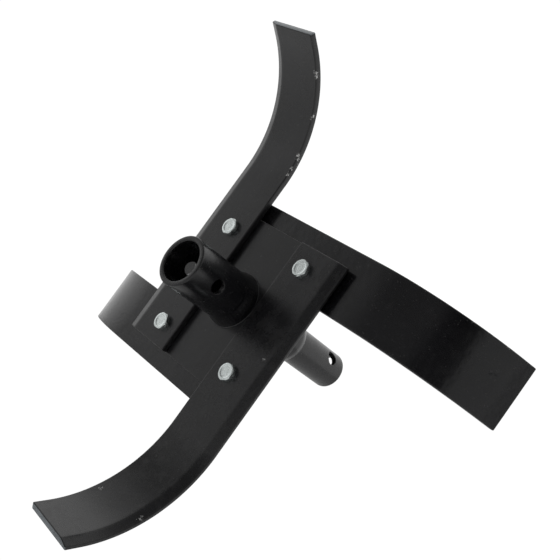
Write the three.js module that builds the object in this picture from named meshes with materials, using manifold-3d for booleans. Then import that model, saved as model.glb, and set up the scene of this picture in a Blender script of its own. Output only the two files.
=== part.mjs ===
// Rotary hoe wheel: a square flange on a welded hub, carrying four bent knife tines.
//
// The wheel is drawn with its turning axis along Z, socket towards +Z, and the finished group is
// turned so that it spins about Y: the socket mouth then faces -Y and the first front tine points up.
// Lengths are in millimetres. The origin is on the axis, in the middle of the flange's thickness.

import * as THREE from 'three';
import { mergeVertices } from 'three/addons/utils/BufferGeometryUtils.js';
import Module from 'manifold-3d';

const wasm = await Module();
wasm.setup();

// Flange
const FLANGE_SIDE = 125;
const FLANGE_THICKNESS = 4;
const FLANGE_CORNER_RADIUS = 2;
const BOLT_SPACING = 90;
const BOLT_HOLE_DIAMETER = 9;

// Hub tube, passing through the flange
const HUB_OUTER_DIAMETER = 40;
const HUB_INNER_DIAMETER = 32;
const HUB_FRONT = 65;
const HUB_BACK = -71;
const HUB_RIM_CHAMFER = 0.8;
const HUB_FIT = 0.1;

// Stub tube, welded into the back end of the hub
const STUB_OUTER_DIAMETER = 30;
const STUB_INNER_DIAMETER = 22;
const STUB_INNER_END = -36;
const STUB_OUTER_END = -132.5;
const STUB_RIM_CHAMFER = 0.8;

// Holes for the cross pins
const PIN_HOLE_DIAMETER = 11;
const SOCKET_PIN_HEIGHT = 40;
const SOCKET_PIN_ANGLE = 0;
const STUB_PIN_HEIGHT = -115;
const STUB_PIN_ANGLE = 41;

// Weld beads
const FLANGE_WELD_LEG = 3.6;
const STUB_WELD_LENGTH = 5.5;

// Tines, cut from flat bar
const TINE_WIDTH = 50;
const TINE_THICKNESS = 5;
const TINE_INNER_MARGIN = 17.5;
const TINE_BEND_START = 94.4;
const TINE_BEND_RADIUS = 101.5;
const TINE_FRONT_BEND = 61;
const TINE_BACK_BEND = 65;
const TINE_TIP_LENGTH = 11;
const TINE_BEVEL_WIDTH = 7.5;
const TINE_EDGE_LAND = 2.5;
const TINE_BEND_STEPS = 28;

// M8 hardware
const BOLT_DIAMETER = 8;
const BOLT_LENGTH = 25;
const BOLT_HEAD_HEIGHT = 3.5;
const HEX_ACROSS_FLATS = 13;
const HEX_CHAMFER_ANGLE = 30;
const HEAD_DISH_DIAMETER = 8.4;
const HEAD_DISH_DEPTH = 0.6;
const WASHER_OUTER_DIAMETER = 14.4;
const WASHER_INNER_DIAMETER = 8.6;
const WASHER_THICKNESS = 2;
const WASHER_SLIT = 1.4;
const NUT_HEIGHT = 6.5;
const NUT_BORE_DIAMETER = 8.3;

const ROUND_SEGMENTS = 64;
const HOLE_SEGMENTS = 28;

const flangeFace = FLANGE_THICKNESS / 2;
const tineFace = flangeFace + TINE_THICKNESS;
const boltLine = BOLT_SPACING / 2;

const blackPaint = { color: 0x2c2c2e, roughness: 0.42, metalness: 0.0 };
const zincPlate = { color: 0xb9c0c0, roughness: 0.34, metalness: 1.0 };

// A closed mesh as a solid that can be cut and joined.
function toSolid(geometry) {
  const bare = geometry.clone();
  bare.deleteAttribute('normal');
  bare.deleteAttribute('uv');
  const merged = mergeVertices(bare, 1e-5);
  return new wasm.Manifold(
    new wasm.Mesh({
      numProp: 3,
      vertProperties: new Float32Array(merged.attributes.position.array),
      triVerts: new Uint32Array(merged.index.array),
    }),
  );
}

// A solid back as a mesh.
function toGeometry(solid) {
  const mesh = solid.getMesh();
  const geometry = new THREE.BufferGeometry();
  geometry.setAttribute('position', new THREE.BufferAttribute(new Float32Array(mesh.vertProperties), 3));
  geometry.setIndex(new THREE.BufferAttribute(new Uint32Array(mesh.triVerts), 1));
  geometry.computeVertexNormals();
  return geometry;
}

// A ring or a solid of revolution about Z; each point of the profile is [radius, z].
function revolve(profile, segments = ROUND_SEGMENTS) {
  const points = profile.map(([radius, z]) => new THREE.Vector2(radius, z));
  const geometry = new THREE.LatheGeometry(points, segments);
  geometry.rotateX(Math.PI / 2);
  return geometry;
}

// A round cutter along Z between two heights.
function cutter(diameter, from, to) {
  const geometry = new THREE.CylinderGeometry(diameter / 2, diameter / 2, to - from, HOLE_SEGMENTS);
  geometry.rotateX(Math.PI / 2);
  geometry.translate(0, 0, (from + to) / 2);
  return geometry;
}

// A tube about Z with both rims chamfered, inside and outside.
function tube(outerDiameter, innerDiameter, from, to, chamfer) {
  const outer = outerDiameter / 2;
  const inner = innerDiameter / 2;
  return revolve([
    [inner, from + chamfer],
    [inner + chamfer, from],
    [outer - chamfer, from],
    [outer, from + chamfer],
    [outer, to - chamfer],
    [outer - chamfer, to],
    [inner + chamfer, to],
    [inner, to - chamfer],
    [inner, from + chamfer],
  ]);
}

// Drills a cross-pin hole through both walls of a tube.
function drillPinHole(geometry, height, angle) {
  const drill = cutter(PIN_HOLE_DIAMETER, -HUB_OUTER_DIAMETER, HUB_OUTER_DIAMETER);
  drill.rotateY(Math.PI / 2);
  drill.rotateZ(THREE.MathUtils.degToRad(angle));
  drill.translate(0, 0, height);
  return toGeometry(toSolid(geometry).subtract(toSolid(drill)));
}

function flangeGeometry() {
  const half = FLANGE_SIDE / 2;
  const corner = FLANGE_CORNER_RADIUS;
  const outline = new THREE.Shape();
  outline.moveTo(-half + corner, -half);
  outline.lineTo(half - corner, -half);
  outline.absarc(half - corner, -half + corner, corner, -Math.PI / 2, 0);
  outline.lineTo(half, half - corner);
  outline.absarc(half - corner, half - corner, corner, 0, Math.PI / 2);
  outline.lineTo(-half + corner, half);
  outline.absarc(-half + corner, half - corner, corner, Math.PI / 2, Math.PI);
  outline.lineTo(-half, -half + corner);
  outline.absarc(-half + corner, -half + corner, corner, Math.PI, 1.5 * Math.PI);
  const plate = new THREE.ExtrudeGeometry(outline, {
    depth: FLANGE_THICKNESS,
    bevelEnabled: false,
    curveSegments: 6,
  });
  plate.translate(0, 0, -flangeFace);

  const hubHole = HUB_OUTER_DIAMETER / 2 + HUB_FIT;
  let solid = toSolid(plate).subtract(
    toSolid(revolve([[0, -FLANGE_THICKNESS], [hubHole, -FLANGE_THICKNESS], [hubHole, FLANGE_THICKNESS], [0, FLANGE_THICKNESS]])),
  );
  for (const x of [-boltLine, boltLine]) {
    for (const y of [-boltLine, boltLine]) {
      const hole = cutter(BOLT_HOLE_DIAMETER, -FLANGE_THICKNESS, FLANGE_THICKNESS);
      hole.translate(x, y, 0);
      solid = solid.subtract(toSolid(hole));
    }
  }
  return toGeometry(solid);
}

function hubGeometry() {
  const body = tube(HUB_OUTER_DIAMETER, HUB_INNER_DIAMETER, HUB_BACK, HUB_FRONT, HUB_RIM_CHAMFER);
  return drillPinHole(body, SOCKET_PIN_HEIGHT, SOCKET_PIN_ANGLE);
}

function stubGeometry() {
  const body = tube(STUB_OUTER_DIAMETER, STUB_INNER_DIAMETER, STUB_OUTER_END, STUB_INNER_END, STUB_RIM_CHAMFER);
  return drillPinHole(body, STUB_PIN_HEIGHT, STUB_PIN_ANGLE);
}

// Fillet bead in the corner between the hub and one face of the flange; side is +1 or -1.
function flangeWeldGeometry(side) {
  const hub = HUB_OUTER_DIAMETER / 2;
  const leg = FLANGE_WELD_LEG;
  const profile = [
    [hub, flangeFace],
    [hub + leg, flangeFace],
    [hub + leg * 0.86, flangeFace + leg * 0.34],
    [hub + leg * 0.62, flangeFace + leg * 0.62],
    [hub + leg * 0.34, flangeFace + leg * 0.86],
    [hub, flangeFace + leg],
    [hub, flangeFace],
  ];
  const bead = revolve(profile);
  if (side < 0) {
    bead.rotateX(Math.PI);
  }
  return bead;
}

// Bead that closes the hub's back rim onto the stub.
function stubWeldGeometry() {
  const stub = STUB_OUTER_DIAMETER / 2;
  const rim = HUB_OUTER_DIAMETER / 2 - HUB_RIM_CHAMFER;
  const back = HUB_BACK;
  const length = STUB_WELD_LENGTH;
  return revolve([
    [stub, back],
    [stub, back - length],
    [stub + (rim - stub) * 0.34, back - length * 0.82],
    [stub + (rim - stub) * 0.68, back - length * 0.52],
    [rim, back],
    [stub, back],
  ]);
}

// Centre line of a tine on its convex face: along the flange, round the bend, then the straight tip.
// Its stations are fixed, one at each end of a straight and evenly round the bend between them.
class TineLine extends THREE.Curve {
  constructor(bendDegrees) {
    super();
    this.bend = THREE.MathUtils.degToRad(bendDegrees);
    this.steps = TINE_BEND_STEPS + 2;
  }

  angleAt(t) {
    const station = t * this.steps;
    return this.bend * THREE.MathUtils.clamp((station - 1) / TINE_BEND_STEPS, 0, 1);
  }

  getPoint(t) {
    const station = t * this.steps;
    const angle = this.angleAt(t);
    const radius = TINE_BEND_RADIUS + TINE_THICKNESS;
    const lead = Math.min(station, 1);
    const tip = Math.max(station - 1 - TINE_BEND_STEPS, 0) * TINE_TIP_LENGTH;
    const start = -FLANGE_SIDE / 2 + (TINE_BEND_START + FLANGE_SIDE / 2) * lead;
    return new THREE.Vector3(
      0,
      start + radius * Math.sin(angle) + tip * Math.cos(angle),
      flangeFace + radius * (1 - Math.cos(angle)) + tip * Math.sin(angle),
    );
  }

  getTangent(t) {
    const angle = this.angleAt(t);
    return new THREE.Vector3(0, Math.cos(angle), Math.sin(angle));
  }

  getPointAt(t) {
    return this.getPoint(t);
  }

  getTangentAt(t) {
    return this.getTangent(t);
  }
}

// One tine, running along +Y and bending towards +Z. The sharpened edge is ground on the inside of
// the bend, along the edge away from the hub: at -X for hand +1, at +X for hand -1.
function tineGeometry(hand, bendDegrees) {
  const inner = -boltLine + TINE_INNER_MARGIN;
  const outer = inner - TINE_WIDTH;
  const section = new THREE.Shape(
    [
      [outer, 0],
      [inner, 0],
      [inner, TINE_THICKNESS],
      [outer + TINE_BEVEL_WIDTH, TINE_THICKNESS],
      [outer, TINE_EDGE_LAND],
    ].map(([across, depth]) => new THREE.Vector2(-depth, -hand * across)),
  );
  const line = new TineLine(bendDegrees);
  const bar = new THREE.ExtrudeGeometry(section, { steps: line.steps, extrudePath: line });
  let solid = toSolid(bar);
  for (const y of [-boltLine, boltLine]) {
    const hole = cutter(BOLT_HOLE_DIAMETER, flangeFace - 1, tineFace + 1);
    hole.translate(-hand * boltLine, y, 0);
    solid = solid.subtract(toSolid(hole));
  }
  return toGeometry(solid);
}

// Six-sided prism from z = 0 upwards, its corners turned down by a cone at the top and, if asked,
// at the bottom too.
function hexSolid(height, chamferBottom) {
  const flat = HEX_ACROSS_FLATS / 2;
  const corner = flat / Math.cos(Math.PI / 6);
  const prism = new THREE.CylinderGeometry(corner, corner, height, 6);
  prism.rotateX(Math.PI / 2);
  prism.translate(0, 0, height / 2);

  const ring = flat * 0.96;
  const reach = corner + 1;
  const drop = (reach - ring) * Math.tan(THREE.MathUtils.degToRad(HEX_CHAMFER_ANGLE));
  const profile = chamferBottom
    ? [[0, 0], [ring, 0], [reach, drop], [reach, height - drop], [ring, height], [0, height]]
    : [[0, 0], [reach, 0], [reach, height - drop], [ring, height], [0, height]];
  return toSolid(prism).intersect(toSolid(revolve(profile, 36)));
}

// Bolt with its head above z = 0 and its shank below.
function boltGeometry() {
  const radius = BOLT_DIAMETER / 2;
  const point = 1;
  const shank = revolve(
    [[0, -BOLT_LENGTH], [radius - point, -BOLT_LENGTH], [radius, -BOLT_LENGTH + point], [radius, 1], [0, 1]],
    HOLE_SEGMENTS,
  );
  const dish = revolve(
    [
      [0, BOLT_HEAD_HEIGHT - HEAD_DISH_DEPTH],
      [HEAD_DISH_DIAMETER / 2 - HEAD_DISH_DEPTH, BOLT_HEAD_HEIGHT - HEAD_DISH_DEPTH],
      [HEAD_DISH_DIAMETER / 2 + HEAD_DISH_DEPTH, BOLT_HEAD_HEIGHT + HEAD_DISH_DEPTH],
      [0, BOLT_HEAD_HEIGHT + HEAD_DISH_DEPTH],
    ],
    36,
  );
  const head = hexSolid(BOLT_HEAD_HEIGHT, false).subtract(toSolid(dish));
  return toGeometry(head.add(toSolid(shank)));
}

// Split spring washer, pressed flat, lying from z = 0 downwards.
function washerGeometry() {
  const inner = WASHER_INNER_DIAMETER / 2;
  const outer = WASHER_OUTER_DIAMETER / 2;
  const ring = revolve(
    [[inner, -WASHER_THICKNESS], [outer, -WASHER_THICKNESS], [outer, 0], [inner, 0], [inner, -WASHER_THICKNESS]],
    36,
  );
  const slit = new THREE.BoxGeometry(outer, WASHER_SLIT, WASHER_THICKNESS * 3);
  slit.rotateX(THREE.MathUtils.degToRad(20));
  slit.translate(outer * 0.8, 0, -WASHER_THICKNESS / 2);
  return toGeometry(toSolid(ring).subtract(toSolid(slit)));
}

// Nut, lying from z = 0 downwards.
function nutGeometry() {
  const nut = hexSolid(NUT_HEIGHT, true).subtract(toSolid(cutter(NUT_BORE_DIAMETER, -1, NUT_HEIGHT + 1)));
  const geometry = toGeometry(nut);
  geometry.translate(0, 0, -NUT_HEIGHT);
  return geometry;
}

function addPiece(parent, name, geometry, look) {
  const mesh = new THREE.Mesh(geometry, new THREE.MeshStandardMaterial(look));
  mesh.name = name;
  parent.add(mesh);
  return mesh;
}

function addHub(wheel) {
  addPiece(wheel, 'flange_plate', flangeGeometry(), blackPaint);
  addPiece(wheel, 'hub_tube', hubGeometry(), blackPaint);
  addPiece(wheel, 'stub_tube', stubGeometry(), blackPaint);
  addPiece(wheel, 'weld_flange_front', flangeWeldGeometry(1), blackPaint);
  addPiece(wheel, 'weld_flange_back', flangeWeldGeometry(-1), blackPaint);
  addPiece(wheel, 'weld_stub', stubWeldGeometry(), blackPaint);
}

// The front pair lies on the socket side and bends forwards. The back pair is of the other hand,
// crosses it at a right angle behind the flange and bends backwards.
function addTines(wheel) {
  const halfTurn = new THREE.Quaternion().setFromAxisAngle(new THREE.Vector3(0, 0, 1), Math.PI);
  const turnOver = new THREE.Quaternion().setFromAxisAngle(new THREE.Vector3(1, 1, 0).normalize(), Math.PI);

  addPiece(wheel, 'tine_front_1', tineGeometry(1, TINE_FRONT_BEND), blackPaint);
  const frontSecond = addPiece(wheel, 'tine_front_2', tineGeometry(1, TINE_FRONT_BEND), blackPaint);
  frontSecond.quaternion.copy(halfTurn);

  const backFirst = addPiece(wheel, 'tine_back_1', tineGeometry(-1, TINE_BACK_BEND), blackPaint);
  backFirst.quaternion.copy(turnOver);
  const backSecond = addPiece(wheel, 'tine_back_2', tineGeometry(-1, TINE_BACK_BEND), blackPaint);
  backSecond.quaternion.copy(halfTurn).multiply(turnOver);
}

// One bolt, spring washer and nut at each corner of the flange; each bolt clamps a front tine, the
// flange and a back tine. The hexagons stand at chance angles, as tightened.
function addFasteners(wheel) {
  const corners = [
    { x: -boltLine, y: boltLine, headTurn: 12, nutTurn: 40, washerTurn: 150 },
    { x: boltLine, y: boltLine, headTurn: 49, nutTurn: 5, washerTurn: 285 },
    { x: boltLine, y: -boltLine, headTurn: 27, nutTurn: 22, washerTurn: 60 },
    { x: -boltLine, y: -boltLine, headTurn: 4, nutTurn: 51, washerTurn: 215 },
  ];
  corners.forEach(({ x, y, headTurn, nutTurn, washerTurn }, index) => {
    const number = index + 1;
    const bolt = addPiece(wheel, `bolt_${number}`, boltGeometry(), zincPlate);
    bolt.position.set(x, y, tineFace);
    bolt.rotation.z = THREE.MathUtils.degToRad(headTurn);

    const washer = addPiece(wheel, `spring_washer_${number}`, washerGeometry(), zincPlate);
    washer.position.set(x, y, -tineFace);
    washer.rotation.z = THREE.MathUtils.degToRad(washerTurn);

    const nut = addPiece(wheel, `nut_${number}`, nutGeometry(), zincPlate);
    nut.position.set(x, y, -tineFace - WASHER_THICKNESS);
    nut.rotation.z = THREE.MathUtils.degToRad(nutTurn);
  });
}

const wheel = new THREE.Group();
addHub(wheel);
addTines(wheel);
addFasteners(wheel);
wheel.rotation.x = Math.PI / 2;

const hoeWheel = new THREE.Group();
hoeWheel.add(wheel);

export default hoeWheel;
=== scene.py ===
import math

import bmesh
import bpy
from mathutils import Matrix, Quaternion, Vector, noise


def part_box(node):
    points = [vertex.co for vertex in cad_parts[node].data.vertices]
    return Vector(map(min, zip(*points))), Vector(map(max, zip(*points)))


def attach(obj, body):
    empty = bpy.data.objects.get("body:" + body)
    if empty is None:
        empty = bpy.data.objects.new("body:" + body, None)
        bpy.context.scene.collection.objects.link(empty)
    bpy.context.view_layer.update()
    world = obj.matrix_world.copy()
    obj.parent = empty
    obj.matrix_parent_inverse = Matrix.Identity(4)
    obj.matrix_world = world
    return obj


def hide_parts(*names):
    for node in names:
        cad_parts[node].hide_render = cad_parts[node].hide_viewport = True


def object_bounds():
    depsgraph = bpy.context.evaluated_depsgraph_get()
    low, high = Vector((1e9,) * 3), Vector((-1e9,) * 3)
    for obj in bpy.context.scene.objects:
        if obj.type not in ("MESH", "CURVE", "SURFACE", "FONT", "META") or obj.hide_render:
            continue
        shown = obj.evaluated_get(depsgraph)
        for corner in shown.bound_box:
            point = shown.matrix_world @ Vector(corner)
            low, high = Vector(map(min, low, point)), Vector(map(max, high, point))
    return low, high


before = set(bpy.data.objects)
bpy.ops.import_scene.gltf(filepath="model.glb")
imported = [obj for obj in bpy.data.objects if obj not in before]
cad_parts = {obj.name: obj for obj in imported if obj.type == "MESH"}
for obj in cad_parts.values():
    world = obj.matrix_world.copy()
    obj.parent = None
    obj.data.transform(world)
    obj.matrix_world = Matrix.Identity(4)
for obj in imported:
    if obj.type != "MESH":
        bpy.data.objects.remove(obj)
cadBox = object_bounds()

mm = 0.001
scene = bpy.context.scene
scene.view_settings.view_transform = "Standard"


cameraView = {
    "aim": (0.009, 0.007, 0.026),
    "distance": 0.726,
    "azimuth": 46.07,
    "elevation": -3.2,
    "roll": 35.7,
    "lens": 62.55,
    "sensor": 36,
    "shift": (0.0211, 0.0028),
}


def addCamera(look):
    azimuth, elevation, roll = (math.radians(look[k]) for k in ("azimuth", "elevation", "roll"))
    back = Vector((
        math.sin(azimuth) * math.cos(elevation),
        -math.cos(azimuth) * math.cos(elevation),
        math.sin(elevation),
    ))
    data = bpy.data.cameras.new("studioCamera")
    data.lens = look["lens"]
    data.sensor_width = look["sensor"]
    data.shift_x, data.shift_y = look["shift"]
    camera = bpy.data.objects.new("studioCamera", data)
    camera.rotation_mode = "QUATERNION"
    camera.rotation_quaternion = (-back).to_track_quat("-Z", "Y") @ Quaternion((0, 0, 1), roll)
    camera.location = Vector(look["aim"]) + back * look["distance"]
    data.clip_start, data.clip_end = 0.01, 100
    scene.collection.objects.link(camera)
    scene.camera = camera


addCamera(cameraView)


# one socket of a node tree, so that shader maths reads as plain expressions
class Wire:
    def __init__(self, tree, socket=None):
        self.tree = tree
        self.socket = socket

    def node(self, kind, settings=None, values=None, out=0):
        made = self.tree.nodes.new("ShaderNode" + kind)
        for key, value in (settings or {}).items():
            setattr(made, key, value)
        for key, value in (values or {}).items():
            if isinstance(value, Wire):
                self.tree.links.new(value.socket, made.inputs[key])
            else:
                made.inputs[key].default_value = value
        return Wire(self.tree, made.outputs[out] if len(made.outputs) else None)

    def maths(self, operation, *values):
        return self.node("Math", {"operation": operation}, dict(enumerate(values)))

    def __add__(self, other):
        return self.maths("ADD", self, other)

    def __sub__(self, other):
        return self.maths("SUBTRACT", self, other)

    def __rsub__(self, other):
        return self.maths("SUBTRACT", other, self)

    def __mul__(self, other):
        return self.maths("MULTIPLY", self, other)

    __radd__ = __add__
    __rmul__ = __mul__

    def ease(self, low, high, start=0.0, end=1.0):
        return self.node(
            "MapRange",
            {"interpolation_type": "SMOOTHSTEP"},
            {"Value": self, "From Min": low, "From Max": high, "To Min": start, "To Max": end},
        )

    def blend(self, first, second):  # colours, with this wire as the factor
        return self.node(
            "Mix", {"data_type": "RGBA"}, {0: self, 6: first, 7: second}, 2,
        )


studio = {
    "openSide": (0.551, -0.833, 0.05),  # the dark, open side of the white tent
    "darkest": 0.18,
    "halfLight": (0.30, 0.62, 0.15),  # cosines from the open side and how much light lies between
    "fullLight": (-0.02, 0.27, 0.67),
    "shades": (  # (direction, cosines of its soft edge, light left): a person, a dull panel
        ((0.66, -0.74, 0.083), 0.93, 0.985, 0.15),
        ((-0.71, -0.50, 0.50), 0.90, 0.985, 0.5),
    ),
    "backdrop": 1.03,
    "floorGap": 0.03,
    "floorSize": 4.0,
    "floorCells": 8,
    "floorColour": (0.9, 0.9, 0.9, 1),
    "softboxes": (  # (place, width, watts)
        ((-1.25, -0.35, 1.05), 1.2, 0.8),
        ((1.46, -0.22, 0.09), 1.0, 1.0),
    ),
}


def addLight(look):
    world = bpy.data.worlds.new("studio")
    scene.world = world
    world.use_nodes = True
    world.node_tree.nodes.clear()
    start = Wire(world.node_tree)
    direction = start.node("TexCoord", out="Generated")

    def cosineFrom(axis):
        return start.node("VectorMath", {"operation": "DOT_PRODUCT"}, {0: direction, 1: axis}, "Value")

    tent = look["darkest"]
    for low, high, amount in (look["halfLight"], look["fullLight"]):
        tent = cosineFrom(look["openSide"]).ease(low, high, amount, 0) + tent
    for axis, low, high, left in look["shades"]:
        tent = tent * cosineFrom(axis).ease(low, high, 1, left)
    seen = start.node("LightPath", out="Is Camera Ray")
    strength = tent * (1 - seen) + seen * look["backdrop"]
    glow = start.node("Background", values={"Color": (1, 1, 1, 1), "Strength": strength})
    start.node("OutputWorld", values={"Surface": glow})
    for number, (place, width, watts) in enumerate(look["softboxes"], 1):
        data = bpy.data.lights.new(f"softbox{number}", "AREA")
        data.shape, data.size, data.energy = "SQUARE", width, watts
        softbox = bpy.data.objects.new(f"softbox{number}", data)
        softbox.location = place
        softbox.rotation_mode = "QUATERNION"
        softbox.rotation_quaternion = Vector(place).to_track_quat("Z", "Y")
        scene.collection.objects.link(softbox)


def addFloor(look):
    low = cadBox[0].z - look["floorGap"]
    half = look["floorSize"] / 2
    cells = look["floorCells"]
    mesh = bmesh.new()
    rows = [
        [
            mesh.verts.new((half * (2 * i / cells - 1), half * (2 * j / cells - 1), low))
            for i in range(cells + 1)
        ]
        for j in range(cells + 1)
    ]
    for j in range(cells):
        for i in range(cells):
            mesh.faces.new((rows[j][i], rows[j][i + 1], rows[j + 1][i + 1], rows[j + 1][i]))
    data = bpy.data.meshes.new("studioFloor")
    mesh.to_mesh(data)
    mesh.free()
    floor = bpy.data.objects.new("studioFloor", data)
    scene.collection.objects.link(floor)
    material = bpy.data.materials.new("paleFloor")
    material.use_nodes = True
    material.node_tree.nodes.clear()
    start = Wire(material.node_tree)
    seen = start.node("LightPath", out="Is Camera Ray")
    matt = start.node("BsdfDiffuse", values={"Color": look["floorColour"]})
    lit = start.node("Emission", values={"Color": (1, 1, 1, 1), "Strength": look["backdrop"]})
    both = start.node("MixShader", values={0: seen, 1: matt, 2: lit})
    start.node("OutputMaterial", values={"Surface": both})
    data.materials.append(material)


addLight(studio)
addFloor(studio)
print("camera, light and floor ready")


def emptyMaterial(name):
    material = bpy.data.materials.new(name)
    material.use_nodes = True
    material.node_tree.nodes.clear()
    return material, Wire(material.node_tree)


def cloud(at, scale, detail=2.0, rough=0.5, distortion=0.0):
    return at.node(
        "TexNoise",
        values={"Vector": at, "Scale": scale, "Detail": detail, "Roughness": rough,
                "Distortion": distortion},
    )


def stretched(at, scale):
    return at.node("Mapping", values={"Vector": at, "Scale": scale}, out="Vector")


blackPaint = {
    "deep": (0.0050, 0.0050, 0.0058, 1),
    "pale": (0.0095, 0.0095, 0.0110, 1),
    "steel": (0.55, 0.55, 0.54, 1),
    # dust colour, also used at the rims as a painted highlight
    "dustAndRimHighlight": (0.10, 0.098, 0.092, 1),
    "rough": 0.27,
    "roughSpread": 0.08,
    "bareRough": 0.42,
    "roughest": 0.9,
    "peel": 0.5,
    "peelScale": 330,
    "grit": 0.25,
    "gritScale": 2600,
    "broadScale": 16,
    "patchScale": 95,
    "wipeScale": 120,
    "nibScale": 900,
    "bumpDepth": 0.00006,
    "wear": 0.5,
    "dusty": 0.5,
    "smear": 0.5,
    "cut": (0.24, 0.27, 0.29, 1),  # lighter bluish grey on the sawn tip ends
    "chips": (),
    "chipRagged": 6.5,
    "dings": (),
}


def paint(name, changes=None):
    look = {**blackPaint, **(changes or {})}
    material, start = emptyMaterial(name)
    at = start.node("TexCoord", out="Object")
    edge = start.node("Attribute", {"attribute_name": "edge"}, out="Fac")

    broad = cloud(at, look["broadScale"], 3.0, 0.55)
    peel = cloud(at, look["peelScale"], 1.0, 0.4, 0.2)
    wide = cloud(at, look["peelScale"] * 0.28, 1.0, 0.5)
    grit = cloud(at, look["gritScale"], 2.0, 0.6)
    patches = cloud(at, look["patchScale"], 4.0, 0.62)
    wipes = cloud(stretched(at, (1.0, 3.2, 0.55)), look["wipeScale"], 5.0, 0.65, 0.4)

    # rubbed through on the edges, and knocked off in a few larger chips
    rub = (edge * 1.15 + (patches - 0.5) * 1.5 + (grit - 0.5) * 0.6).ease(1.42, 1.52) * look["wear"]
    bare = rub
    for centre, size in look["chips"]:
        away = start.node(
            "VectorMath", {"operation": "DISTANCE"}, {0: at, 1: centre}, "Value"
        )
        ragged = away * (1 / size) + (cloud(at, 620, 4.0, 0.75) - 0.5) * look["chipRagged"]
        bare = bare.maths("MAXIMUM", bare, 1 - ragged.ease(0.42, 0.6))

    ding = 0
    for centre, size in look["dings"]:
        away = start.node(
            "VectorMath", {"operation": "DISTANCE"}, {0: at, 1: centre}, "Value"
        )
        ding = (1 - (away * (1 / size) + (cloud(at, 420, 2.0) - 0.5) * 0.9).ease(0.1, 1.0)) + ding

    nibs = cloud(at, look["nibScale"], 0.0).ease(0.735, 0.77) * cloud(at, 210, 1.0).ease(0.5, 0.62)
    haze = (wipes * patches).ease(0.22, 0.46)

    body = broad.ease(0.3, 0.7).blend(look["deep"], look["pale"])
    # the edge term is a painted highlight: it lightens every rounded rim towards the dust colour; the
    # haze term is real dust and smears
    body = (haze * 0.10 * look["smear"] + edge * 0.05).blend(body, look["dustAndRimHighlight"])
    body = (nibs * 0.55 * look["dusty"]).blend(body, look["dustAndRimHighlight"])
    sawn = start.node("Attribute", {"attribute_name": "sawn"}, out="Fac")
    body = (sawn * (patches + 0.35)).blend(body, look["cut"])
    colour = bare.blend(body, look["steel"])

    rough = (
        look["rough"]
        + (broad - 0.5) * look["roughSpread"]
        + (patches - 0.5) * look["roughSpread"] * 0.8
        + haze * 0.14 * look["smear"]
        + (grit - 0.5) * 0.05
        + edge * 0.04
    )
    rough = rough * (1 - bare) + bare * look["bareRough"]
    rough = rough.maths("MINIMUM", look["roughest"], rough)

    relief = peel * look["peel"] + wide * look["peel"] * 1.6 + grit * look["grit"] * 0.12
    relief = relief + nibs * 0.5 * look["dusty"] - bare * 1.2 - ding * 4
    bump = start.node(
        "Bump", values={"Strength": 1.0, "Distance": look["bumpDepth"], "Height": relief}, out="Normal"
    )
    shader = start.node(
        "BsdfPrincipled",
        values={
            "Base Color": colour,
            "Roughness": rough,
            "Metallic": bare * 0.85,
            "IOR": 1.5,
            "Normal": bump,
        },
    )
    start.node("OutputMaterial", values={"Surface": shader})
    return material


zinc = {
    "light": (0.86, 0.92, 0.91, 1),
    "dark": (0.70, 0.75, 0.74, 1),
    "stain": (0.36, 0.38, 0.37, 1),
    "rough": 0.27,
    "metal": 0.96,
    "broadScale": 260,
    "spangleScale": 1400,
    "markScale": 900,
    "pitScale": 1900,
    "bumpDepth": 0.00002,
}


def zincPlate(name, look=zinc):
    material, start = emptyMaterial(name)
    at = start.node("TexCoord", out="Object")
    edge = start.node("Attribute", {"attribute_name": "edge"}, out="Fac")
    broad = cloud(at, look["broadScale"], 3.0, 0.6)
    spangle = cloud(at, look["spangleScale"], 3.0, 0.65)
    marks = cloud(stretched(at, (1.0, 1.0, 5.0)), look["markScale"], 4.0, 0.7, 0.3)
    pits = cloud(at, look["pitScale"], 1.0).ease(0.66, 0.76)
    colour = (broad * 0.6 + spangle * 0.4).ease(0.3, 0.7).blend(look["dark"], look["light"])
    colour = (pits * 0.5 + (1 - edge) * marks.ease(0.56, 0.75) * 0.35).blend(colour, look["stain"])
    rough = look["rough"] + (spangle - 0.5) * 0.12 + (broad - 0.5) * 0.14 + pits * 0.1 - edge * 0.08
    relief = spangle * 0.5 + marks * 0.35 - pits * 0.6
    bump = start.node(
        "Bump", values={"Strength": 1.0, "Distance": look["bumpDepth"], "Height": relief}, out="Normal"
    )
    shader = start.node(
        "BsdfPrincipled",
        values={
            "Base Color": colour,
            "Roughness": rough,
            "Metallic": look["metal"] - pits * 0.3,
            "Normal": bump,
        },
    )
    start.node("OutputMaterial", values={"Surface": shader})
    return material


def rowPoint(x, y, z):  # wheel axes in millimetres, with Z along the shaft, to the frame in metres
    return Vector((x, -z, y)) * mm


def addPiece(mesh, name, node, material, sharpAngle=48):
    bmesh.ops.recalc_face_normals(mesh, faces=mesh.faces[:])
    data = bpy.data.meshes.new(name)
    mesh.to_mesh(data)
    mesh.free()
    data.polygons.foreach_set("use_smooth", [True] * len(data.polygons))
    data.set_sharp_from_angle(angle=math.radians(sharpAngle))
    data.materials.append(material)
    piece = bpy.data.objects.new(name, data)
    scene.collection.objects.link(piece)
    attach(piece, "root")
    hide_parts(node)
    return piece


def lines(*stops):  # stops are (place, widest step up to there); every stop gets a line
    made = [stops[0][0]]
    for end, step in stops[1:]:
        start = made[-1]
        count = max(1, math.ceil((end - start) / step - 1e-6))
        made += [start + (end - start) * k / count for k in range(1, count + 1)]
    return made


def joinRings(mesh, rings, closedRound=True):  # each ring is a list of vertices; one vertex is a pole
    for first, second in zip(rings, rings[1:]):
        count = max(len(first), len(second))
        for k in range(count if closedRound else count - 1):
            a, b = first[k % len(first)], first[(k + 1) % len(first)]
            c, d = second[(k + 1) % len(second)], second[k % len(second)]
            corners = []
            for vertex in (a, b, c, d):
                if vertex not in corners:
                    corners.append(vertex)
            mesh.faces.new(corners)


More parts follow.
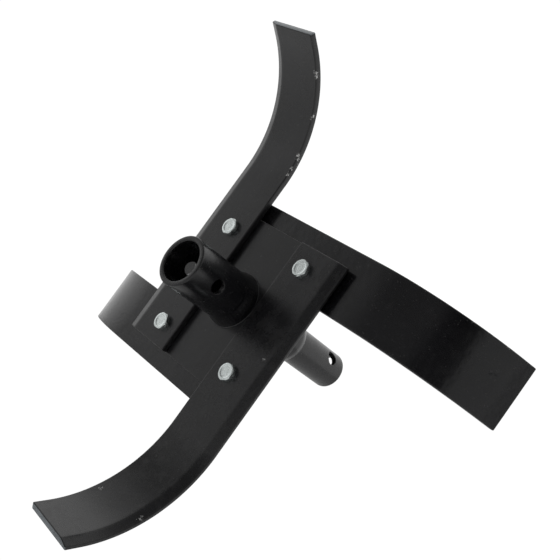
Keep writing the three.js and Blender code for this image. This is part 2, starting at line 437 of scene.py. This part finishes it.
rimAngles = [math.radians(a) for a in (30, 60, 90)]
ringShares = (1.0, 0.66, 0.36, 0.14, 0.0)  # from a patch's square outline in to its round hole


def drilledSheet(
    across, along, thick, place, rims, holes=(), holeRim=0.4, tube=None, sawnTip=False,
):
    # one closed skin: an outer and an inner face on a grid of lines, joined round the rims and
    # through the holes; a tube closes on itself, and its lines across are in degrees
    mesh = bmesh.new()
    edge = mesh.verts.layers.float.new("edge")
    sawn = mesh.verts.layers.float.new("sawn")
    wide, tall = len(across), len(along)
    perUnit = math.radians(1) * tube["radius"] if tube else 1.0
    rimAcross, rimAlong = rims

    def add(u, w, h, wear):
        vertex = mesh.verts.new(place(u, w, h))
        vertex[edge] = wear
        return vertex

    # edge value, high near the sheet's borders: it drives the rubbed wear and also a painted highlight
    # along the rims
    def rimWearAndHighlightAt(u, w):
        near = min(w - along[0], along[-1] - w)
        if not tube:
            near = min(near, u - across[0], across[-1] - u)
        return max(0.0, 1 - near / 2.2) ** 2

    def holeEdge(hole, reach, turn, h):
        shift = reach * math.cos(turn)
        if tube:
            shift = math.degrees(math.asin(shift / (tube["bore"] + h)))
        return hole["u"] + shift, hole["w"] + reach * math.sin(turn)

    patches = []
    for hole in holes:
        i0, i1 = (min(range(wide), key=lambda k: abs(across[k] - hole["u"] - s * hole["halfU"]))
                  for s in (-1, 1))
        j0, j1 = (min(range(tall), key=lambda k: abs(along[k] - hole["w"] - s * hole["halfW"]))
                  for s in (-1, 1))
        patches.append((hole, i0, i1, j0, j1))

    def inPatch(i, j):
        return any(i0 <= i < i1 and j0 <= j < j1 for _, i0, i1, j0, j1 in patches)

    def strictlyIn(i, j):
        return any(i0 < i < i1 and j0 < j < j1 for _, i0, i1, j0, j1 in patches)

    faces, holeRings = [], [[] for _ in patches]
    for side in (1, 0):
        grid = {
            (i, j): add(across[i], along[j], thick(across[i]) * side, rimWearAndHighlightAt(across[i], along[j]))
            for i in range(wide) for j in range(tall) if not strictlyIn(i, j)
        }
        faces.append(grid)
        for i in range(wide if tube else wide - 1):
            for j in range(tall - 1):
                if not inPatch(i, j):
                    k = (i + 1) % wide
                    mesh.faces.new((grid[i, j], grid[k, j], grid[k, j + 1], grid[i, j + 1]))
        for number, (hole, i0, i1, j0, j1) in enumerate(patches):
            outline = (
                [(i, j0) for i in range(i0, i1)] + [(i1, j) for j in range(j0, j1)]
                + [(i, j1) for i in range(i1, i0, -1)] + [(i0, j) for j in range(j1, j0, -1)]
            )
            h = thick(hole["u"]) * side
            turns = [
                math.atan2(along[j] - hole["w"], (across[i] - hole["u"]) * perUnit)
                for i, j in outline
            ]
            rings = [[grid[corner] for corner in outline]]
            for share in ringShares[1:]:
                ring = []
                for (i, j), turn in zip(outline, turns):
                    u, w = holeEdge(hole, hole["radius"] + holeRim, turn, h)
                    u += (across[i] - u) * share
                    w += (along[j] - w) * share
                    ring.append(add(u, w, h, 0.8 if share == 0 else 0.0))
                rings.append(ring)
            joinRings(mesh, rings)
            holeRings[number].append((rings[-1], turns))

    def rimHeights(total, size):  # (angle, height) from the outer face round to the inner one
        size = min(size, total * 0.45)
        return (
            [(a, total - size * (1 - math.cos(a))) for a in rimAngles]
            + [(a, size * (1 - math.cos(a))) for a in reversed(rimAngles)]
        )

    for (outer, turns), (inner, _), (hole, *_) in (
        (*pair, patch) for pair, patch in zip(holeRings, patches)
    ):
        rings = [outer]
        for a, h in rimHeights(thick(hole["u"]), holeRim):
            reach = hole["radius"] + holeRim * (1 - math.sin(a))
            rings.append([add(*holeEdge(hole, reach, turn, h), h, 1.0) for turn in turns])
        joinRings(mesh, rings + [inner])

    if tube:
        loops = [[(i, j, 0, out) for i in range(wide)] for j, out in ((0, -1), (tall - 1, 1))]
    else:
        loops = [
            [(i, 0, 0 if i else -1, -1) for i in range(wide - 1)]
            + [(wide - 1, j, 1, 0 if j else -1) for j in range(tall - 1)]
            + [(i, tall - 1, 0 if i < wide - 1 else 1, 1) for i in range(wide - 1, 0, -1)]
            + [(0, j, -1, 0 if j < tall - 1 else 1) for j in range(tall - 1, 0, -1)]
        ]
    for loop in loops:
        rings = [[faces[0][i, j] for i, j, *_ in loop]]
        for step in range(2 * len(rimAngles)):
            ring = []
            for i, j, outU, outW in loop:
                size = rimAcross[0 if outU < 0 else 1] if outU and not outW else rimAlong
                a, h = rimHeights(thick(across[i]), size)[step]
                u = across[i] + outU * math.sin(a) * rimAcross[0 if outU < 0 else 1]
                w = along[j] + outW * math.sin(a) * rimAlong
                ring.append(add(u, w, h, 1.0))
                ring[-1][sawn] = 1.0 if sawnTip and outW > 0 and a > 1.4 else 0.0
            rings.append(ring)
        joinRings(mesh, rings + [[faces[1][i, j] for i, j, *_ in loop]])
    return mesh


def softCorner(x, y, halfX, halfY, radius):  # rounds the corners of a plate centred on nought
    overX, overY = abs(x) - (halfX - radius), abs(y) - (halfY - radius)
    if overX <= 0 or overY <= 0:
        return x, y
    scale = max(overX, overY) / math.hypot(overX, overY)
    return (
        math.copysign(halfX - radius + overX * scale, x),
        math.copysign(halfY - radius + overY * scale, y),
    )


flangeLow, flangeHigh = (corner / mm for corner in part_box("flange_plate"))
boltLow, boltHigh = (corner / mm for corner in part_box("bolt_2"))
hubLow, hubHigh = (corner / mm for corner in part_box("hub_tube"))
stubLow, stubHigh = (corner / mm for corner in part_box("stub_tube"))

flange = {
    "half": flangeHigh.x,
    "thickness": flangeHigh.y - flangeLow.y,
    "corner": 2.0,
    "rim": 0.5,
    "boltLine": (boltLow.x + boltHigh.x) / 2,
    "boltHole": 9.0,
    "hubGap": 0.1,
    "boltPatch": 9.0,  # half widths of the square patches round the holes
    "hubPatch": 27.0,
}


def addFlange(look, hubRadius):
    half, rim = look["half"], look["rim"]
    patch, middle = look["boltPatch"], look["hubPatch"]
    bolt = look["boltLine"]
    side = lines(
        (0, 1), (middle, 3.4), (bolt - patch, 9), (bolt + patch, 2.4), (half - 3, 6),
        (half - 1.4, 2), (half - rim, 0.7),
    )
    across = [-u for u in reversed(side[1:])] + side
    holes = [{"u": 0, "w": 0, "radius": hubRadius + look["hubGap"], "halfU": middle, "halfW": middle}]
    for u in (-bolt, bolt):
        for w in (-bolt, bolt):
            holes.append({"u": u, "w": w, "radius": look["boltHole"] / 2, "halfU": patch, "halfW": patch})

    def place(u, w, h):
        x, y = softCorner(u, w, half, half, look["corner"])
        return rowPoint(x, y, h - look["thickness"] / 2)

    mesh = drilledSheet(
        across, across, lambda u: look["thickness"], place, ((rim, rim), rim), holes
    )
    addPiece(mesh, "flangePlate", "flange_plate", paint("flangePaint", {
        "rough": 0.29, "smear": 0.5, "dusty": 0.8, "wear": 0.35, "grit": 0.12,
    }))


hub = {
    "radius": hubHigh.x,
    "bore": hubHigh.x - 4.0,
    "front": -hubLow.y,
    "back": -hubHigh.y,
    "rim": 0.8,
    "pinHole": 11.0,
    "pinAt": 40.0,
    "pinTurn": 0.0,
    "halfTurn": 30.0,
    "halfLength": 10.0,
    "drawnIn": 2.2,  # how much the outside is ground down towards the stub
    "drawnOver": 7.0,
}

stub = {
    "radius": 15.0,
    "bore": 11.0,
    "front": -stubLow.y,
    "back": -stubHigh.y,
    "rim": 0.8,
    "pinHole": 11.0,
    "pinAt": -115.0,
    "pinTurn": 41.0,
    "halfTurn": 45.0,
    "halfLength": 9.0,
    "drawnIn": 0.0,
    "drawnOver": 1.0,
}


tubeLines = 96  # round each tube


def addTube(look, name, node, material):
    low, high, rim = look["back"], look["front"], look["rim"]
    pinAt, reach = look["pinAt"], look["halfLength"]
    wall = look["radius"] - look["bore"]
    across = [360 / tubeLines * k for k in range(tubeLines)]
    along = lines(
        (low + rim, 1), (low + 2 * rim, 1), (low + 7, 1.4), (pinAt - reach, 6), (pinAt + reach, 1.25),
        (high - 4, 6), (high - 2 * rim, 3), (high - rim, 1),
    )
    holes = [
        {"u": u, "w": pinAt, "radius": look["pinHole"] / 2, "halfU": look["halfTurn"], "halfW": reach}
        for u in (90, 270)
    ]

    def place(u, w, h):
        turn = math.radians(u - 90 + look["pinTurn"])
        past = max(0.0, 1 - (w - low) / look["drawnOver"])
        radius = look["bore"] + h * (1 - look["drawnIn"] / wall * past ** 1.5)
        return rowPoint(radius * math.cos(turn), radius * math.sin(turn), w)

    mesh = drilledSheet(
        across, along, lambda u: wall, place, ((rim, rim), rim), holes, 0.4,
        {"radius": look["radius"], "bore": look["bore"]},
    )
    addPiece(mesh, name, node, material)


addFlange(flange, hub["radius"])
addTube(hub, "hubTube", "hub_tube", paint("hubPaint", {"rough": 0.22, "dusty": 0.9, "smear": 0.4}))
addTube(stub, "stubTube", "stub_tube", paint("stubPaint", {
    "rough": 0.27, "deep": (0.010, 0.010, 0.011, 1), "pale": (0.016, 0.016, 0.017, 1),
    "dusty": 1.0, "smear": 1.0,
}))
print("flange, hub and stub ready")


bead = {
    "toe": 0.6,  # the rounded foot that catches the light
    "toeAngles": (0, 25, 50, 75, 95),
    "steps": 9,
    "ripplePitch": 2.6,
    "rippleDepth": 0.10,
    "unevenness": 0.10,
    "sunk": 0.15,  # how far the hidden sides reach into the metal
    "slices": 300,
    "flangeBead": {"reach": 3.4, "rise": 11.0, "hollow": 1.3},
    "stubBead": {"reach": 2.3, "rise": 3.4, "hollow": 1.15},
}


def addBead(name, node, size, foot, heading, seed, material):
    # foot is the (radius, z) of the corner it fills; heading is the way it climbs along the tube
    mesh = bmesh.new()
    edge = mesh.verts.layers.float.new("edge")
    toe, sunk, steps = bead["toe"], bead["sunk"], bead["steps"]
    ripples = round(2 * math.pi * foot[0] / bead["ripplePitch"])
    rings = []
    for k in range(bead["slices"]):
        turn = 2 * math.pi * k / bead["slices"]
        spot = Vector((math.cos(turn) * 2.2, math.sin(turn) * 2.2, seed))
        full = 1 - bead["unevenness"] * (0.5 + 0.5 * noise.noise(spot))
        phase = turn * ripples + 1.6 * noise.noise(spot * 1.7)
        reach, rise = size["reach"] * full, size["rise"] * full
        section = [(-sunk, rise), (-sunk, -sunk), (reach, -sunk)]
        for a in bead["toeAngles"]:
            swing = math.radians(a)
            section.append((reach - toe * (1 - math.cos(swing)), toe * math.sin(swing)))
        fromOut, fromUp = section[-1]
        for step in range(1, steps + 1):
            s = step / steps
            wave = bead["rippleDepth"] * math.sin(math.pi * s) * math.sin(phase - 2.4 * s)
            section.append((fromOut * (1 - s) ** size["hollow"] + wave, fromUp + (rise - fromUp) * s))
        ring = []
        for out, up in section:
            radius = foot[0] + out
            vertex = mesh.verts.new(rowPoint(
                radius * math.cos(turn), radius * math.sin(turn), foot[1] + heading * up,
            ))
            vertex[edge] = 0.25
            ring.append(vertex)
        rings.append(ring)
    joinRings(mesh, rings + rings[:1])
    addPiece(mesh, name, node, material, 60)


beadPaint = paint("beadPaint", {"rough": 0.2, "peel": 0.35, "wear": 0.2, "dusty": 0.8})
face = flange["thickness"] / 2
addBead("frontBead", "weld_flange_front", bead["flangeBead"], (hub["radius"], face), 1, 1.0, beadPaint)
addBead("backBead", "weld_flange_back", bead["flangeBead"], (hub["radius"], -face), -1, 5.0, beadPaint)
addBead("stubBead", "weld_stub", bead["stubBead"], (stub["radius"], hub["back"]), -1, 9.0, beadPaint)
print("weld beads ready")


tine = {
    "width": 50.0,
    "thickness": 5.0,
    "innerMargin": 17.5,  # from the bolts to the edge beside the hub
    "bendStart": 94.4,
    "bendRadius": 101.5,
    "tip": 11.0,
    "grind": 7.5,
    "land": 2.5,
    "rim": 0.7,
    "landRim": 0.45,
    "corner": 0.8,
    "wave": 0.07,
    "hole": 9.0,
    "holePatch": 8.0,
}

tines = {
    "frontTine1": {
        "node": "tine_front_1", "bend": 61, "hand": 1, "back": False, "turned": False, "seed": 3,
        "paint": {"rough": 0.28, "wear": 0.45, "smear": 0.6},
        "chips": (  # (from the inner edge, along, height, size)
            (0.3, 250, 4.6, 2.1), (0.2, 247, 3.9, 1.6), (0.2, 216, 4.0, 1.7), (0.4, 213, 4.8, 1.1),
            (0.4, 183, 4.7, 1.9), (0.3, 180, 4.0, 1.5), (0.4, 171, 4.8, 1.6), (0.3, 166, 4.7, 1.8),
        ),
    },
    "frontTine2": {
        "node": "tine_front_2", "bend": 61, "hand": 1, "back": False, "turned": True, "seed": 11,
        "paint": {"rough": 0.26, "wear": 0.35, "smear": 1.0},
        "chips": ((6, 232, 5, 1.5), (47.4, 224, 2.2, 2.0), (37.5, 85, 5, 1.3)),
    },
    "backTine1": {
        "node": "tine_back_1", "bend": 65, "hand": -1, "back": True, "turned": False, "seed": 19,
        "paint": {"rough": 0.19, "wear": 0.3, "smear": 0.45, "peel": 1.8, "peelScale": 220},
        "chips": ((49.7, 234, 0.3, 1.1), (49.8, 262, 0.3, 1.2)),
        "dings": ((31.8, 266, 0, 3.0), (29.5, 262, 0, 2.0)),
    },
    "backTine2": {
        "node": "tine_back_2", "bend": 65, "hand": -1, "back": True, "turned": True, "seed": 27,
        "paint": {"rough": 0.19, "wear": 0.3, "smear": 0.4, "peel": 0.9},
        "chips": ((0.3, 240, 0.3, 0.8),), "early": 1.4, "skew": 2.0,
    },
}


def tinePoint(spec, u, w, h):
    # u runs from the inner edge, w along the convex face from the flange's far side, h above it
    lead = tine["bendStart"] + flange["half"] - spec.get("early", 0)
    radius = tine["bendRadius"] + tine["thickness"]
    bend = math.radians(spec["bend"])
    length = lead + radius * bend + tine["tip"]
    u, w = (a + b for a, b in zip(
        softCorner(u - tine["width"] / 2, w - length / 2, tine["width"] / 2, length / 2, tine["corner"]),
        (tine["width"] / 2, length / 2),
    ))
    # hammered a little out of true past the flange, and true again at the tip
    loose = min(max((w - lead + 20) / 30, 0), 1) * min(max((length - 6 - w) / 30, 0), 1)
    h += tine["wave"] * loose * noise.noise(Vector((u / 22, w / 34, spec["seed"])))
    angle = min(max((w - lead) / radius, 0), bend)
    past = max(w - lead - radius * bend, 0)
    y = -flange["half"] + min(w, lead) + radius * math.sin(angle) + past * math.cos(angle)
    z = flange["thickness"] / 2 + radius * (1 - math.cos(angle)) + past * math.sin(angle)
    y -= h * math.sin(angle)
    z += h * math.cos(angle)
    lean = spec.get("skew", 0) * min(max((w - lead) / (length - lead), 0), 1) ** 2
    x = -spec["hand"] * (flange["boltLine"] - tine["innerMargin"] + u + lean)
    if spec["back"]:
        x, y, z = y, x, -z
    if spec["turned"]:
        x, y = -x, -y
    return rowPoint(x, y, z)


def addTine(name, spec):
    width, rim, landRim = tine["width"], tine["rim"], tine["landRim"]
    margin, patch = tine["innerMargin"], tine["holePatch"]
    lead = tine["bendStart"] + flange["half"] - spec.get("early", 0)
    bendLength = (tine["bendRadius"] + tine["thickness"]) * math.radians(spec["bend"])
    length = lead + bendLength + tine["tip"]
    ground = width - tine["grind"]
    nearBolt = flange["half"] - flange["boltLine"]
    farBolt = flange["half"] + flange["boltLine"]
    across = lines(
        (rim, 1), (1.0, 1), (2.2, 1.2), (margin - patch, 3.4), (margin + patch, 2), (ground - 2, 3.4),
        (ground - 0.25, 2), (ground + 0.25, 0.5), (width - 2.2, 2), (width - 0.8, 1.4),
        (width - landRim, 0.6),
    )
    along = lines(
        (rim, 1), (1.0, 1), (2.2, 1.2), (nearBolt - patch, 4), (nearBolt + patch, 2),
        (farBolt - patch, 6), (farBolt + patch, 2), (lead, 4), (lead + bendLength, 2.0),
        (length - 2.2, 3), (length - 1.0, 1.2), (length - rim, 1),
    )
    holes = [
        {"u": margin, "w": w, "radius": tine["hole"] / 2, "halfU": patch, "halfW": patch}
        for w in (nearBolt, farBolt)
    ]

    def thick(u):
        past = min(max(u - ground, 0) / tine["grind"], 1)
        return tine["thickness"] + (tine["land"] - tine["thickness"]) * past

    mesh = drilledSheet(
        across, along, thick, lambda u, w, h: tinePoint(spec, u, w, h),
        ((rim, landRim), rim), holes, 0.35, sawnTip=True,
    )
    chips, dings = (
        [(tinePoint(spec, u, w, h), size * mm) for u, w, h, size in spec.get(kind, ())]
        for kind in ("chips", "dings")
    )
    material = paint(name + "Paint", {**spec["paint"], "chips": chips, "dings": dings})
    addPiece(mesh, name, spec["node"], material)


for name, spec in tines.items():
    addTine(name, spec)
print("tines ready")


bolt = {
    "radius": 4.0,
    "length": 25.0,
    "headHeight": 3.5,
    "acrossFlats": 13.0,
    "topFlat": 0.985,  # the flat top's share of the distance across flats
    "chamfer": 42.0,
    "cornerShare": 0.915,  # how much of each corner is left
    "dish": 4.7,
    "dishDepth": 0.35,
    "pitch": 1.25,
    "threadDepth": 0.62,
    "threadFrom": -21.2,
    "slices": 96,
}

nut = {"height": 6.5, "bore": 4.15}

washer = {"outer": 7.2, "inner": 4.3, "thickness": 2.0, "slit": 1.4, "slant": 20.0, "soft": 0.3,
          "slices": 72}

boltCorners = {  # turns in degrees: head, nut, washer
    1: {"at": (-1, 1), "turns": (12, 40, 150)},
    2: {"at": (1, 1), "turns": (49, 5, 285)},
    3: {"at": (1, -1), "turns": (27, 22, 60)},
    4: {"at": (-1, -1), "turns": (4, 51, 215)},
}


def hexRadius(turn):  # distance to the side of the hexagon, its corners turned down
    sixth = math.pi / 3
    off = (turn % sixth) - sixth / 2
    flat = bolt["acrossFlats"] / 2
    return min(flat / math.cos(off), flat / math.cos(sixth / 2) * bolt["cornerShare"])


def turnedSkin(name, node, centre, turn, profile, poles, material):
    # profile gives the rings as (radius, z, wear) at each angle round the piece's own axis
    mesh = bmesh.new()
    edge = mesh.verts.layers.float.new("edge")
    count = bolt["slices"]
    rings = []
    for number, point in enumerate(profile):
        single = poles and number in (0, len(profile) - 1)
        ring = []
        for k in range(1 if single else count):
            angle = 2 * math.pi * k / count
            radius, z, wear = point(angle)
            heading = angle + math.radians(turn)
            vertex = mesh.verts.new(rowPoint(
                centre[0] + radius * math.cos(heading), centre[1] + radius * math.sin(heading),
                centre[2] + z,
            ))
            vertex[edge] = wear
            ring.append(vertex)
        rings.append(ring)
    joinRings(mesh, rings if poles else rings + rings[:1])
    addPiece(mesh, name, node, material, 38)


def fixed(radius, z, wear=0.0):
    return lambda angle: (radius, z, wear)


def hexPoint(inset, z, side, wear=0.0):
    # side is +1 or -1 for a chamfered end, where the cone cuts the sides off; 0 leaves z alone
    flat = bolt["acrossFlats"] / 2
    fall = math.tan(math.radians(bolt["chamfer"]))

    def at(angle):
        radius = hexRadius(angle)
        drop = max(0.0, radius - inset - flat * bolt["topFlat"]) * fall
        return radius - inset, z - side * drop, wear

    return at


def hexSide(z, side, wear=0.0):  # just past the chamfer, on the flat itself
    flat = bolt["acrossFlats"] / 2
    fall = math.tan(math.radians(bolt["chamfer"]))

    def at(angle):
        radius = hexRadius(angle)
        return radius, z - side * ((radius - flat * bolt["topFlat"]) * fall + 0.1), wear

    return at


def threadPoint(z):
    def at(angle):
        share = (z / bolt["pitch"] + angle / (2 * math.pi)) % 1
        ridge = abs(2 * share - 1)
        return bolt["radius"] - 0.02 - bolt["threadDepth"] * (1 - ridge), z, 0.5 * ridge

    return at


def addBolt(number, centre, turn, material):
    top, dish = bolt["headHeight"], bolt["dish"]
    deep = top - bolt["dishDepth"]
    flatTop = bolt["acrossFlats"] / 2 * bolt["topFlat"]
    end = -bolt["length"]
    profile = [
        fixed(0, deep + 0.05), fixed(0.6, deep + 0.05), fixed(1.3, deep),
        fixed(1.7, deep + 0.06, 0.2), fixed(2.1, deep), fixed(dish - 1.6, deep),
        fixed(dish - 1.1, deep + 0.05, 0.2), fixed(dish - 0.7, deep), fixed(dish - 0.35, deep + 0.06),
        fixed(dish, top - 0.06, 0.3), fixed(dish + 0.25, top, 0.6), fixed(dish + 0.6, top, 0.2),
        fixed(flatTop - 0.4, top, 0.2), fixed(flatTop - 0.12, top - 0.02, 0.5),
        hexPoint(0.06, top, 1, 0.4), hexSide(top, 1, 0.9),
        hexPoint(0, 0.15, 0, 0.6), hexPoint(0.15, 0, 0, 0.2),
        fixed(bolt["radius"], 0.0), fixed(bolt["radius"] - 0.05, -0.5),
        fixed(bolt["radius"] - 0.05, bolt["threadFrom"] + 0.05),
    ]
    step = bolt["pitch"] / 9
    turns = int((bolt["threadFrom"] - end - 0.9) / step) + 1
    profile += [threadPoint(bolt["threadFrom"] - k * step) for k in range(turns)]
    profile += [
        fixed(bolt["radius"] - 0.75, end + 0.35, 0.4), fixed(bolt["radius"] - 1.0, end + 0.05, 0.5),
        fixed(bolt["radius"] - 1.3, end, 0.2), fixed(0, end),
    ]
    turnedSkin(f"bolt{number}", f"bolt_{number}", centre, turn, profile, True, material)


def addNut(number, centre, turn, material):
    low = -nut["height"]
    bore = nut["bore"]
    flatTop = bolt["acrossFlats"] / 2 * bolt["topFlat"]
    profile = [
        fixed(bore, -0.45), fixed(bore + 0.4, -0.03, 0.3), fixed(bore + 0.6, 0),
        fixed(flatTop - 0.05, -0.01, 0.4), hexPoint(0.1, 0, 1, 0.4), hexSide(0, 1, 0.9),
        hexSide(low, -1, 0.9), hexPoint(0.1, low, -1, 0.4), fixed(flatTop - 0.05, low + 0.01, 0.4),
        fixed(bore + 0.6, low), fixed(bore + 0.4, low + 0.03, 0.3), fixed(bore, low + 0.45),
    ]
    turnedSkin(f"nut{number}", f"nut_{number}", centre, turn, profile, False, material)


def addWasher(number, centre, turn, material):
    mesh = bmesh.new()
    edge = mesh.verts.layers.float.new("edge")
    soft, thickness = washer["soft"], washer["thickness"]
    section = []
    for cx, cz, first in (
        (washer["outer"] - soft, -soft, 0), (washer["inner"] + soft, -soft, 90),
        (washer["inner"] + soft, soft - thickness, 180), (washer["outer"] - soft, soft - thickness, 270),
    ):
        for a in (0, 45, 90):
            turned = math.radians(first + a)
            section.append((cx + soft * math.cos(turned), cz + soft * math.sin(turned)))
    slices = washer["slices"]
    rings = []
    for k in range(slices + 1):
        ring = []
        for radius, z in section:
            half = washer["slit"] / 2 / radius
            lean = math.tan(math.radians(washer["slant"])) * (z + thickness / 2) / radius
            first, last = half + lean, 2 * math.pi - half + lean
            angle = first + (last - first) * k / slices + math.radians(turn)
            vertex = mesh.verts.new(rowPoint(
                centre[0] + radius * math.cos(angle), centre[1] + radius * math.sin(angle),
                centre[2] + z,
            ))
            vertex[edge] = 0.5
            ring.append(vertex)
        rings.append(ring)
    joinRings(mesh, rings)
    mesh.faces.new(rings[0])
    mesh.faces.new(rings[-1])
    addPiece(mesh, f"springWasher{number}", f"spring_washer_{number}", material, 40)


plate = zincPlate("zincPlate")
front = flange["thickness"] / 2 + tine["thickness"]
for number, corner in boltCorners.items():
    x, y = (flange["boltLine"] * side for side in corner["at"])
    headTurn, nutTurn, washerTurn = corner["turns"]
    addBolt(number, (x, y, front), headTurn, plate)
    addWasher(number, (x, y, -front), washerTurn, plate)
    addNut(number, (x, y, -front - washer["thickness"]), nutTurn, plate)
print("bolts, washers and nuts ready")
